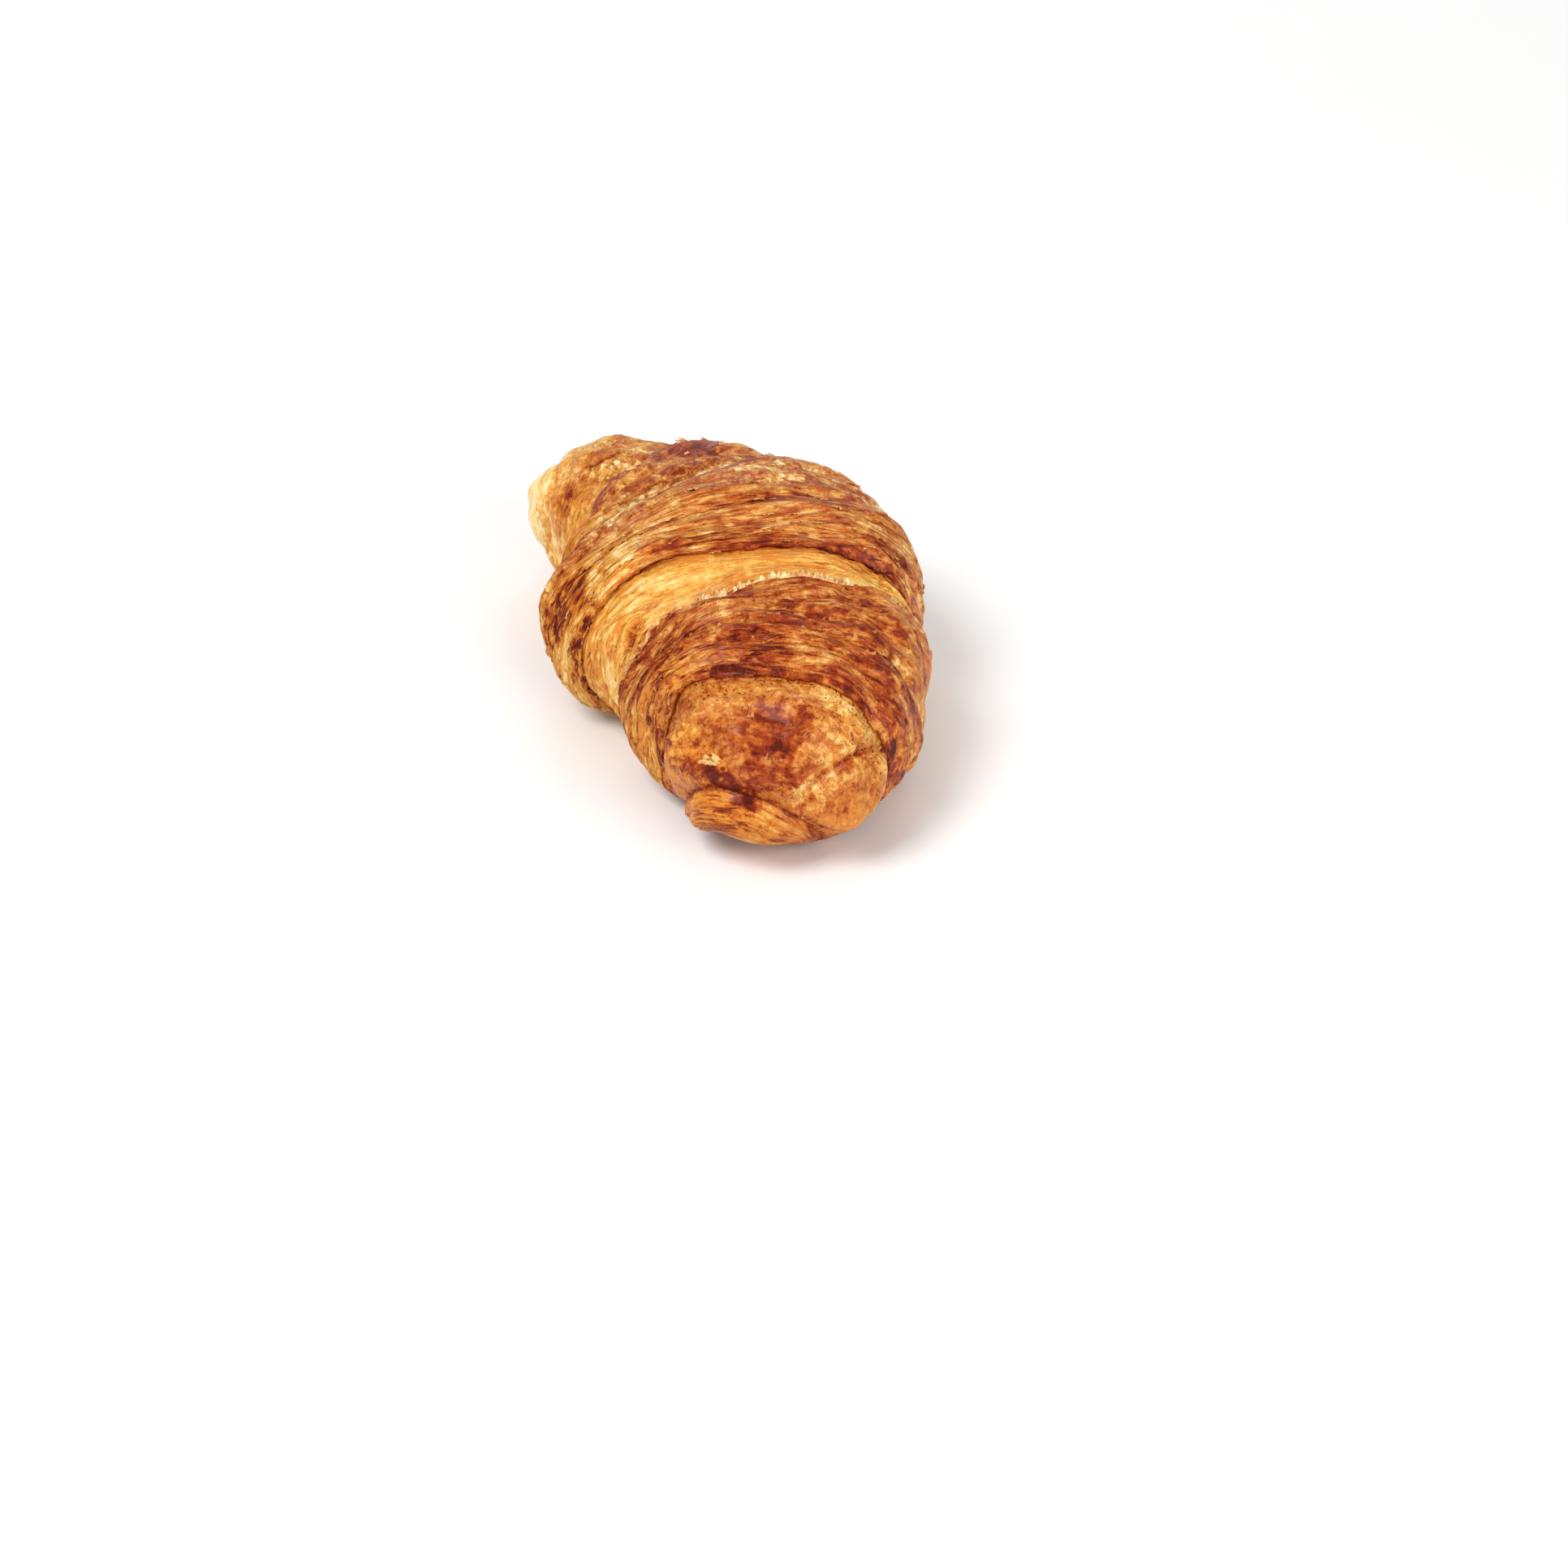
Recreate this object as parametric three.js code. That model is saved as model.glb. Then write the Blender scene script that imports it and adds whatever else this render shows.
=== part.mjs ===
// A whole baked croissant: one solid of rolled, laminated dough, in millimetres, with +Z up.
// X runs along the roll from its far tip (-X) to its near tip (+X), the tips bend towards -Y,
// and the roll rests on its flat base at z = 0. The wraps of dough step up and down along the
// roll, with a stretched valley between the two middle wraps.
// A point of the surface is given by its walk along the roll, as a share of the half length,
// and its angle round the section: 0 on the outer curve, a quarter turn on top.

import * as THREE from "three";

const { clamp, smoothstep } = THREE.MathUtils;

// Driving dimensions of the roll
const HALF_LENGTH = 58; // from the middle of the centre line to each of its ends
const BEND = {
  far: { sweep: 23.5, power: 2.9 }, // how far the end bends off the middle, and how late
  near: { sweep: 16.5, power: 2.3 },
};
const ROUND_FROM = 0.8; // share of the half length where each end begins to round off
const SQUARENESS = 2.25; // exponent of the superellipse that each section follows
const BASE_DEPTH = 2.5; // how far the section would reach below its flat base

// Sections along the roll: place (-1 to 1), half width on the outer and the inner curve,
// crown above the axis, and height of the axis
const STATIONS = [
  { at: -1.0, outer: 15.5, inner: 8.5, crown: 15.8, axis: 16.0 },
  { at: -0.72, outer: 24.0, inner: 18.0, crown: 18.0, axis: 16.6 },
  { at: -0.42, outer: 32.0, inner: 30.6, crown: 20.6, axis: 17.9 },
  { at: -0.1, outer: 36.4, inner: 34.2, crown: 23.3, axis: 18.6 },
  { at: 0.2, outer: 34.0, inner: 32.4, crown: 23.8, axis: 18.6 },
  { at: 0.5, outer: 28.7, inner: 25.8, crown: 21.4, axis: 17.4 },
  { at: 0.78, outer: 23.6, inner: 20.6, crown: 17.3, axis: 16.2 },
  { at: 1.0, outer: 18.8, inner: 17.0, crown: 14.4, axis: 14.6 },
];

// Where each wrap's edge crosses the roll: place on top, lean to the outer curve, and bow
const EDGES = [
  { at: -0.664, lean: -0.034, bow: 0.02 },
  { at: -0.402, lean: -0.035, bow: 0.045 },
  { at: 0.157, lean: 0.113, bow: 0.01 },
  { at: 0.366, lean: -0.045, bow: 0.02 },
  { at: 0.755, lean: 0.048, bow: -0.02 },
];
const EDGE_WANDER = 0.006; // how far an edge wanders off its line, as a share of the half length
const EDGE_HALF_STEP = 0.006; // half the width of the wall at an edge, as the same share

// The surface of each wrap in mm off the plain section: at its start, how much it swells, and
// at its end; then the ridges of the layers that show in it, and the rows of the mesh
const WRAPS = [
  { start: -0.5, swell: 1.2, end: -2.1, layers: 4, ridge: 0.3, rows: 17 }, // far tip
  { start: 0.8, swell: 1.4, end: -0.8, layers: 3, ridge: 0.35, rows: 11 },
  { start: 1.4, swell: 2.4, end: 0.5, layers: 6, ridge: 0.3, rows: 24 },
  { start: -1.2, swell: 0.4, end: -1.4, layers: 2, ridge: 0.4, rows: 9 }, // stretched valley
  { start: 0.7, swell: 1.9, end: 0.8, layers: 5, ridge: 0.4, rows: 20 },
  { start: -1.2, swell: 1.8, end: 0.0, layers: 4, ridge: 0.3, rows: 20 }, // near tip
];

// Slow waves that make the baked crust uneven: height in mm, and waves along, across and up
const WAVES = [
  { height: 0.5, along: 11, across: 4.1, up: 3.3, phase: 0.4 },
  { height: 0.45, along: -17, across: 5.3, up: 4.7, phase: 2.1 },
  { height: 0.35, along: 29, across: -7.9, up: 6.1, phase: 4.0 },
];

// Round forms on the two ends, in mm from the end's pole on the unrolled surface: p towards
// the outer curve, q upwards. Each is a dome with a groove round it.
const END_FORMS = [
  { end: 1, p: -3, q: -8, radius: 10, dome: 3.2, groove: 1.4, width: 1.8 }, // the roll's own tip
  { end: 1, p: 12.3, q: 0.5, radius: 6.8, dome: 1.6, groove: 0.7, width: 1.5 }, // raised flap
  { end: -1, p: -3, q: 2, radius: 8, dome: 1.4, groove: 0.3, width: 1.8 }, // pale rolled stub
];

// Where the relief fades out towards the flat base, as the sine of the angle
const FADE = { none: -0.85, full: -0.5 };

// Mesh: columns round the section, closer on top than underneath
const AROUND = 56;
const TOP_BUNCHING = 0.3;

// Value of one named size at a place along the roll, by a smooth curve through the stations
function sizeAt(name, place) {
  const last = STATIONS.length - 1;
  const slope = (i) => {
    const a = STATIONS[Math.max(i - 1, 0)];
    const b = STATIONS[Math.min(i + 1, last)];
    return (b[name] - a[name]) / (b.at - a.at);
  };
  let i = 0;
  while (i < last - 1 && place > STATIONS[i + 1].at) i += 1;
  const a = STATIONS[i];
  const b = STATIONS[i + 1];
  const span = b.at - a.at;
  const u = clamp((place - a.at) / span, 0, 1);
  const u2 = u * u;
  const u3 = u2 * u;
  return (
    (2 * u3 - 3 * u2 + 1) * a[name] +
    (u3 - 2 * u2 + u) * span * slope(i) +
    (3 * u2 - 2 * u3) * b[name] +
    (u3 - u2) * span * slope(i + 1)
  );
}

// Furthest walk along the roll, round an end to its pole
const WALK_END = ROUND_FROM + ((1 - ROUND_FROM) * Math.PI) / 2;

// The walk turned into a place along the centre line, and how far it has turned round the end
function placeOnRoll(walk) {
  const over = Math.abs(walk) - ROUND_FROM;
  if (over <= 0) return { place: walk, turn: 0 };
  const turn = Math.min(over / (1 - ROUND_FROM), Math.PI / 2);
  return { place: Math.sign(walk) * (ROUND_FROM + (1 - ROUND_FROM) * Math.sin(turn)), turn };
}

// Centre line in plan and its unit direction
function centreLine(place) {
  const { sweep, power } = place < 0 ? BEND.far : BEND.near;
  const reach = Math.abs(place);
  const fall = power * sweep * reach ** (power - 1) * Math.sign(place);
  const direction = new THREE.Vector2(HALF_LENGTH, -fall).normalize();
  return { x: HALF_LENGTH * place, y: -sweep * reach ** power, direction };
}

// Where edge i of the wraps lies at an angle round the section
function edgeAt(i, angle) {
  if (i < 0) return -WALK_END;
  if (i >= EDGES.length) return WALK_END;
  const { at, lean, bow } = EDGES[i];
  const wander = Math.sin(3 * angle + 1.7 * i) + 0.6 * Math.sin(7 * angle + 2.3 * i);
  return at + lean * Math.cos(angle) + bow * Math.sin(angle) + EDGE_WANDER * wander;
}

// Height of the round forms of the ends
function endForms(walk, angle) {
  const reach = (WALK_END - Math.abs(walk)) * HALF_LENGTH;
  let height = 0;
  for (const form of END_FORMS) {
    if (Math.sign(walk) !== form.end) continue;
    const apart = Math.hypot(reach * Math.cos(angle) - form.p, reach * Math.sin(angle) - form.q);
    const inside = Math.max(1 - (apart / form.radius) ** 2, 0);
    const offGroove = (apart - form.radius) / form.width;
    height += form.dome * inside - form.groove * Math.exp(-offGroove * offGroove);
  }
  return height;
}

// Height of the crust off the plain section
function reliefAt(wrap, across, walk, angle, turn) {
  const step = wrap.start + (wrap.end - wrap.start) * across + wrap.swell * Math.sin(Math.PI * across);
  const sway = 0.3 * Math.sin(2 * angle + 5 * walk);
  const layers = Math.sin(2 * Math.PI * (wrap.layers * across + sway)) * Math.sin(Math.PI * across);
  let waves = 0;
  for (const { height, along, across: sideways, up, phase } of WAVES) {
    waves += height * Math.sin(along * walk + sideways * Math.cos(angle) + up * Math.sin(angle) + phase);
  }
  const share = Math.cos(turn);
  const onBase = 1 - smoothstep(Math.sin(angle), FADE.none, FADE.full);
  const fade = 1 - onBase * smoothstep(share, 0.2, 0.8);
  return fade * (step + share * (wrap.ridge * layers + waves) + endForms(walk, angle));
}

// Signed power, for the superellipse
function bend(value, power) {
  return Math.sign(value) * Math.abs(value) ** power;
}

// Point of the surface: a wrap, the share of the way across it, and the angle round the section
function surfacePoint(wrapIndex, across, angle, target) {
  const from = edgeAt(wrapIndex - 1, angle) + (wrapIndex > 0 ? EDGE_HALF_STEP : 0);
  const to = edgeAt(wrapIndex, angle) - (wrapIndex < WRAPS.length - 1 ? EDGE_HALF_STEP : 0);
  const walk = from + (to - from) * across;
  const { place, turn } = placeOnRoll(walk);
  const share = Math.cos(turn);
  const cos = Math.cos(angle);
  const sin = Math.sin(angle);
  const sideways = bend(cos, 2 / SQUARENESS);
  const upwards = bend(sin, 2 / SQUARENESS);
  const halfWidth = sizeAt(cos > 0 ? "outer" : "inner", place);
  const crown = sizeAt("crown", place);
  const axis = sizeAt("axis", place);
  const depth = Math.min(axis + BASE_DEPTH, crown);
  const { x, y, direction } = centreLine(place);

  // The direction in which the relief stands: out of the section, and round the end along the roll
  const normal = new THREE.Vector2(
    bend(cos, 2 - 2 / SQUARENESS) / halfWidth,
    bend(sin, 2 - 2 / SQUARENESS) / crown,
  ).normalize();
  const outwards = share * normal.x;
  const forwards = Math.sin(turn) * Math.sign(walk);
  const relief = reliefAt(WRAPS[wrapIndex], across, walk, angle, turn);

  const side = halfWidth * share * sideways + relief * outwards;
  const ahead = relief * forwards;
  const height = axis + (sin > 0 ? crown : depth) * share * upwards + relief * share * normal.y;
  target.set(
    x - direction.y * side + direction.x * ahead,
    y + direction.x * side + direction.y * ahead,
    Math.max(height, 0),
  );
}

// Rows of the mesh from the far pole to the near one: the wrap, and the share of the way across it
function meshRows() {
  const rows = [];
  WRAPS.forEach((wrap, index) => {
    for (let i = 0; i <= wrap.rows; i += 1) rows.push({ wrap: index, across: i / wrap.rows });
  });
  return rows;
}

// A closed sphere whose rows are moved to the roll's own rows
function rollGeometry() {
  const rows = meshRows();
  const geometry = new THREE.SphereGeometry(1, AROUND, rows.length - 1);
  const position = geometry.attributes.position;
  const point = new THREE.Vector3();
  let vertex = 0;
  for (const { wrap, across } of rows) {
    for (let column = 0; column <= AROUND; column += 1) {
      const even = (-2 * Math.PI * (column % AROUND)) / AROUND;
      surfacePoint(wrap, across, even + TOP_BUNCHING * Math.cos(even), point);
      position.setXYZ(vertex, point.x, point.y, point.z);
      vertex += 1;
    }
  }

  // The origin is the middle of the roll's outline in plan, on its base
  geometry.computeBoundingBox();
  const middle = geometry.boundingBox.getCenter(new THREE.Vector3());
  geometry.translate(-middle.x, -middle.y, 0);
  geometry.computeVertexNormals();
  return geometry;
}

const crust = new THREE.MeshStandardMaterial({ color: 0xc77833, roughness: 0.45, metalness: 0 });
const croissant = new THREE.Mesh(rollGeometry(), crust);
croissant.name = "croissant";

const group = new THREE.Group();
group.add(croissant);

export default group;
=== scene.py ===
"""Dresses a baked croissant: its layered crust, the torn edge of its valley and its loose flakes.

The roll is worked out from the same sizes as the solid that it stands for, in millimetres, and
then written in metres. A point of the crust is given by its walk along the roll, as a share of
the half length, its angle round the section (0 on the outer curve, a quarter turn on top), and
its height off the plain section.
"""

from __future__ import annotations

import logging
import math
from dataclasses import dataclass, field
from enum import Enum

import bmesh
import bpy
import numpy as np
from mathutils import Matrix, Vector, noise

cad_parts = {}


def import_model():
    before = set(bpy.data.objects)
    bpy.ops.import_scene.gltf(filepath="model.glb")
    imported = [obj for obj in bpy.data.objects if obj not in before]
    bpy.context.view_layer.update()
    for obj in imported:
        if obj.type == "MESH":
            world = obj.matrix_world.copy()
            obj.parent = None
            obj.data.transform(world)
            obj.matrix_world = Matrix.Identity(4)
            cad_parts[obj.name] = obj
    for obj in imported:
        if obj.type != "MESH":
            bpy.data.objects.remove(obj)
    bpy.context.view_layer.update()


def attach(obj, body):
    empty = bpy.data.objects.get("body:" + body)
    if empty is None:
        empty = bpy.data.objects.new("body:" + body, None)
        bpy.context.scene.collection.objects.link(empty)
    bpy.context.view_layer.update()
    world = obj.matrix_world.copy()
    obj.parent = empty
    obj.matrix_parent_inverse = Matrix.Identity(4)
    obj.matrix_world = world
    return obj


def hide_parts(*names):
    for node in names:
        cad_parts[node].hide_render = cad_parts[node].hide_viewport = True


LOG = logging.getLogger("croissant")
MM = 0.001
NODE = "croissant"
SKIN_VALUES = ("bake", "streak", "mottle", "dough", "pores")  # what the crust's finish reads


@dataclass(frozen=True)
class Station:
    """Sizes of the roll's section at one place of its centre line, in millimetres."""

    at: float
    outer: float
    inner: float
    crown: float
    axis: float


@dataclass(frozen=True)
class Edge:
    """Where a wrap's edge crosses the roll, and how its lip looks."""

    at: float
    lean: float
    bow: float
    lip: float  # how far the lip hangs over, against the wall's own profile
    ragged: float  # how far the lip wanders, mm
    shoulder: float  # how much the lip rounds off, mm


@dataclass(frozen=True)
class Wrap:
    """One wrap of dough: its surface off the plain section in millimetres, and how it is baked."""

    start: float
    swell: float
    end: float
    layers: float
    ridge: float
    solid_rows: int
    rows: int
    bake: float  # 0 is raw cream, 1 is nearly black
    streak: tuple[float, float]  # how much it is lined, at its start and at its end
    mottle: tuple[float, float]  # how blotchy it is, at its start and at its end


@dataclass(frozen=True)
class EndForm:
    """A dome with a groove round it on one end of the roll, in millimetres from the pole."""

    end: int
    p: float
    q: float
    radius: float
    dome: float
    groove: float
    width: float
    rings: bool = False  # whether the layers run round it


@dataclass(frozen=True)
class Wave:
    """One slow wave of the uneven crust."""

    height: float
    along: float
    across: float
    up: float
    phase: float


@dataclass(frozen=True)
class Patch:
    """A spot of the crust that is baked more or less than what is round it; one of them is the painted shade
    of a dimple.
    """

    walk: float
    angle: float  # degrees
    along: float  # mm
    around: float  # mm
    bake: float


@dataclass(frozen=True)
class Crack:
    """A thin dark crack between two places of the crust, each a walk and an angle in degrees."""

    start: tuple[float, float]
    end: tuple[float, float]
    width: float  # mm
    depth: float  # mm


@dataclass(frozen=True)
class WallPoint:
    """One row of the wall at an edge: how far it lies under the upper wrap, and its share of
    the step.
    """

    inwards: float
    rise: float


@dataclass
class Grid:
    """Rows and columns of the crust: what each point of the mesh is, before it is placed."""

    walk: np.ndarray
    angle: np.ndarray
    height: np.ndarray
    flow: np.ndarray  # coordinates that follow the wraps, mm
    wrap: np.ndarray
    across: np.ndarray
    turn: np.ndarray  # how far it has turned round the end
    under: np.ndarray  # 1 on the flat base
    form: np.ndarray  # 1 where the layers run round a form of the end
    edge_gap: np.ndarray  # mm to the nearest edge of the wraps


def smooth(value: np.ndarray, low: float, high: float) -> np.ndarray:
    """Smooth step: 0 below low, 1 above high, and an S curve between."""
    u = np.clip((value - low) / (high - low), 0.0, 1.0)
    return u * u * (3.0 - 2.0 * u)


def fall(value: np.ndarray, low: float, high: float) -> np.ndarray:
    """Smooth step down: 1 below low, 0 above high, and an S curve between."""
    return 1.0 - smooth(value, low, high)


def bend(value: np.ndarray, power: float) -> np.ndarray:
    """Power of a number's size that keeps its sign."""
    return np.sign(value) * np.abs(value) ** power


def fractal(points: np.ndarray, octaves: int = 4, offset: float = 0.0) -> np.ndarray:
    """Smooth random field, about -1 to 1, that is the same in each run.

    Args:
        points: Places, with x, y and z last.
        octaves: How many finer fields are added.
        offset: Moves the field, for another pattern.

    Returns:
        One number for each place.
    """
    flat = points.reshape(-1, 3) + offset
    values = [noise.fractal(Vector(p), 1.0, 2.0, octaves) for p in flat.tolist()]
    return np.array(values).reshape(points.shape[:-1])


@dataclass(frozen=True)
class FlowNoise:
    """A random field that follows the wraps: how fine it is along and round the roll, for each mm."""

    along: float
    around: float
    octaves: int
    offset: float

    def on(self, flow: np.ndarray) -> np.ndarray:
        """The field at the pattern's coordinates, about -1 to 1."""
        return fractal(flow * np.array([self.along, self.around, self.around]), self.octaves, self.offset)


@dataclass
class Roll:
    """The rolled dough: its centre line, sections, wraps and ends, in millimetres."""

    half_length: float = 58.0  # from the middle of the centre line to each of its ends
    sweep_far: tuple[float, float] = (23.5, 2.9)  # how far the end bends off, and its power
    sweep_near: tuple[float, float] = (16.5, 2.3)
    round_from: float = 0.8  # share of the half length where each end begins to round off
    squareness: float = 2.25  # exponent of the superellipse that each section follows
    base_depth: float = 2.5  # how far the section would reach below its flat base
    edge_wander: float = 0.006  # as a share of the half length
    edge_half_step: float = 0.006
    fade_none: float = -0.85  # sine of the angle where the relief has faded out
    fade_full: float = -0.5  # and where it is whole
    solid_around: int = 56
    top_bunching: float = 0.3
    stations: tuple[Station, ...] = (
        Station(-1.0, 15.5, 8.5, 15.8, 16.0),
        Station(-0.72, 24.0, 18.0, 18.0, 16.6),
        Station(-0.42, 32.0, 30.6, 20.6, 17.9),
        Station(-0.1, 36.4, 34.2, 23.3, 18.6),
        Station(0.2, 34.0, 32.4, 23.8, 18.6),
        Station(0.5, 28.7, 25.8, 21.4, 17.4),
        Station(0.78, 23.6, 20.6, 17.3, 16.2),
        Station(1.0, 18.8, 17.0, 14.4, 14.6),
    )
    edges: tuple[Edge, ...] = (
        Edge(-0.664, -0.034, 0.02, lip=0.2, ragged=0.3, shoulder=1.2),
        Edge(-0.402, -0.035, 0.045, lip=0.25, ragged=0.35, shoulder=1.3),
        Edge(0.157, 0.113, 0.01, lip=0.35, ragged=0.4, shoulder=1.6),
        Edge(0.366, -0.045, 0.02, lip=0.5, ragged=0.9, shoulder=0.9),
        Edge(0.755, 0.048, -0.02, lip=0.4, ragged=0.35, shoulder=1.6),
    )
    wraps: tuple[Wrap, ...] = (
        Wrap(-0.5, 1.2, -2.1, 4, 0.3, 17, 80, bake=0.36, streak=(0.3, 0.35), mottle=(0.6, 0.9)),
        Wrap(0.8, 1.4, -0.8, 3, 0.35, 11, 58, bake=0.44, streak=(0.45, 0.6), mottle=(0.7, 1.05)),
        Wrap(1.4, 2.4, 0.5, 6, 0.3, 24, 104, bake=0.37, streak=(0.2, 1.2), mottle=(1.2, 0.5)),
        Wrap(-1.2, 0.4, -1.4, 2, 0.4, 9, 52, bake=0.28, streak=(0.5, 0.5), mottle=(0.3, 0.3)),
        Wrap(0.7, 1.9, 0.8, 5, 0.4, 20, 74, bake=0.48, streak=(1.0, 1.1), mottle=(0.7, 0.6)),
        Wrap(-1.2, 1.8, 0.0, 4, 0.3, 20, 66, bake=0.425, streak=(0.12, 0.22), mottle=(0.75, 0.75)),
    )
    waves: tuple[Wave, ...] = (
        Wave(0.5, 11, 4.1, 3.3, 0.4),
        Wave(0.45, -17, 5.3, 4.7, 2.1),
        Wave(0.35, 29, -7.9, 6.1, 4.0),
    )
    end_forms: tuple[EndForm, ...] = (
        EndForm(1, -3.0, -8.0, 10.0, 3.2, 1.4, 1.8, rings=True),
        EndForm(1, 12.3, 0.5, 6.8, 1.6, 0.7, 1.5),
        EndForm(-1, -3.0, 2.0, 8.0, 1.4, 0.3, 1.8),
    )
    wall: tuple[WallPoint, ...] = (
        WallPoint(0.9, 0.02),
        WallPoint(1.0, 0.2),
        WallPoint(0.5, 0.42),
        WallPoint(-0.15, 0.55),
        WallPoint(-0.45, 0.72),
        WallPoint(-0.35, 0.9),
        WallPoint(-0.05, 1.0),
    )
    middle: Vector = field(default_factory=lambda: Vector((0.0, 0.0, 0.0)))

    def __post_init__(self) -> None:
        """Finds the middle of the solid's outline in plan, which is the frame's origin."""
        angle = self.angles(self.solid_around)[None, :]
        low, high = np.full(3, np.inf), np.full(3, -np.inf)
        for index, wrap in enumerate(self.wraps):
            across = np.linspace(0.0, 1.0, wrap.solid_rows + 1)[:, None]
            walk = self.walk_in(index, across, angle)
            height = self.relief(index, across, walk, angle)
            points = self.place(walk, angle, height)
            low = np.minimum(low, points.reshape(-1, 3).min(0))
            high = np.maximum(high, points.reshape(-1, 3).max(0))
        centre = (low + high) / 2.0
        self.middle = Vector((centre[0], centre[1], 0.0))

    @property
    def walk_end(self) -> float:
        """The furthest walk along the roll, round an end to its pole."""
        return self.round_from + (1.0 - self.round_from) * math.pi / 2.0

    def angles(self, count: int) -> np.ndarray:
        """Angles of the columns round the section, closer on top than underneath."""
        even = -2.0 * math.pi * np.arange(count) / count
        return even + self.top_bunching * np.cos(even)

    def size_at(self, name: str, place: np.ndarray) -> np.ndarray:
        """One named size of the section, by a smooth curve through the stations.

        Args:
            name: The station's field.
            place: Places along the centre line, -1 to 1.

        Returns:
            The size at each place.
        """
        at = np.array([station.at for station in self.stations])
        value = np.array([getattr(station, name) for station in self.stations])
        last = len(at) - 1
        before = np.maximum(np.arange(last + 1) - 1, 0)
        after = np.minimum(np.arange(last + 1) + 1, last)
        slope = (value[after] - value[before]) / (at[after] - at[before])
        i = np.clip(np.searchsorted(at, place) - 1, 0, last - 1)
        span = at[i + 1] - at[i]
        u = np.clip((place - at[i]) / span, 0.0, 1.0)
        u2, u3 = u * u, u * u * u
        start = (2 * u3 - 3 * u2 + 1) * value[i] + (u3 - 2 * u2 + u) * span * slope[i]
        return start + (3 * u2 - 2 * u3) * value[i + 1] + (u3 - u2) * span * slope[i + 1]

    def turn_at(self, walk: np.ndarray) -> np.ndarray:
        """How far a walk has turned round the end, from 0 to a quarter turn."""
        over = (np.abs(walk) - self.round_from) / (1.0 - self.round_from)
        return np.clip(over, 0.0, math.pi / 2.0)

    def edge_at(self, index: int, angle: np.ndarray) -> np.ndarray:
        """Where an edge of the wraps lies.

        Args:
            index: The edge, or -1 and the last for the two poles.
            angle: Angles round the section.

        Returns:
            The edge's walk at each angle.
        """
        if index < 0:
            return np.full_like(angle, -self.walk_end)
        if index >= len(self.edges):
            return np.full_like(angle, self.walk_end)
        edge = self.edges[index]
        wander = np.sin(3 * angle + 1.7 * index) + 0.6 * np.sin(7 * angle + 2.3 * index)
        line = edge.at + edge.lean * np.cos(angle) + edge.bow * np.sin(angle)
        return line + self.edge_wander * wander

    def walk_in(self, index: int, across: np.ndarray, angle: np.ndarray) -> np.ndarray:
        """The walk of a point of a wrap.

        Args:
            index: The wrap.
            across: The share of the way across it.
            angle: The angle round the section.

        Returns:
            The walk at each point.
        """
        last = len(self.wraps) - 1
        start = self.edge_at(index - 1, angle) + (self.edge_half_step if index > 0 else 0.0)
        end = self.edge_at(index, angle) - (self.edge_half_step if index < last else 0.0)
        return start + (end - start) * across

    def from_form(
        self, form: EndForm, walk: np.ndarray, angle: np.ndarray
    ) -> tuple[np.ndarray, np.ndarray]:
        """Where points lie on the unrolled end, from the middle of one of its forms.

        Args:
            form: The form.
            walk: The walk along the roll.
            angle: The angle round the section.

        Returns:
            Millimetres towards the outer curve, and upwards.
        """
        reach = (self.walk_end - np.abs(walk)) * self.half_length
        return reach * np.cos(angle) - form.p, reach * np.sin(angle) - form.q

    def end_form_height(self, walk: np.ndarray, angle: np.ndarray) -> np.ndarray:
        """Height of the round forms on the two ends.

        Args:
            walk: The walk along the roll.
            angle: The angle round the section.

        Returns:
            The height at each point, mm.
        """
        height = np.zeros(np.broadcast(walk, angle).shape)
        for form in self.end_forms:
            apart = np.hypot(*self.from_form(form, walk, angle))
            inside = np.maximum(1.0 - (apart / form.radius) ** 2, 0.0)
            groove = np.exp(-(((apart - form.radius) / form.width) ** 2))
            here = np.sign(walk) == form.end
            height += np.where(here, form.dome * inside - form.groove * groove, 0.0)
        return height

    def base_fade(self, angle: np.ndarray, turn: np.ndarray) -> np.ndarray:
        """How much relief is left: 1 where it is whole, and 0 on the flat base."""
        on_base = 1.0 - smooth(np.sin(angle), self.fade_none, self.fade_full)
        return 1.0 - on_base * smooth(np.cos(turn), 0.2, 0.8)

    def relief(
        self, index: int, across: np.ndarray, walk: np.ndarray, angle: np.ndarray
    ) -> np.ndarray:
        """Height of the crust off the plain section, as the solid has it.

        Args:
            index: The wrap.
            across: The share of the way across it.
            walk: The walk along the roll.
            angle: The angle round the section.

        Returns:
            The height at each point.
        """
        wrap = self.wraps[index]
        arch = np.sin(math.pi * across)
        step = wrap.start + (wrap.end - wrap.start) * across + wrap.swell * arch
        sway = 0.3 * np.sin(2 * angle + 5 * walk)
        layers = np.sin(2 * math.pi * (wrap.layers * across + sway)) * arch
        waves = np.zeros(np.broadcast(walk, angle).shape)
        for wave in self.waves:
            phase = wave.along * walk + wave.across * np.cos(angle) + wave.up * np.sin(angle)
            waves += wave.height * np.sin(phase + wave.phase)
        turn = self.turn_at(walk)
        share = np.cos(turn)
        rough = share * (wrap.ridge * layers + waves)
        return self.base_fade(angle, turn) * (step + rough + self.end_form_height(walk, angle))

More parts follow.
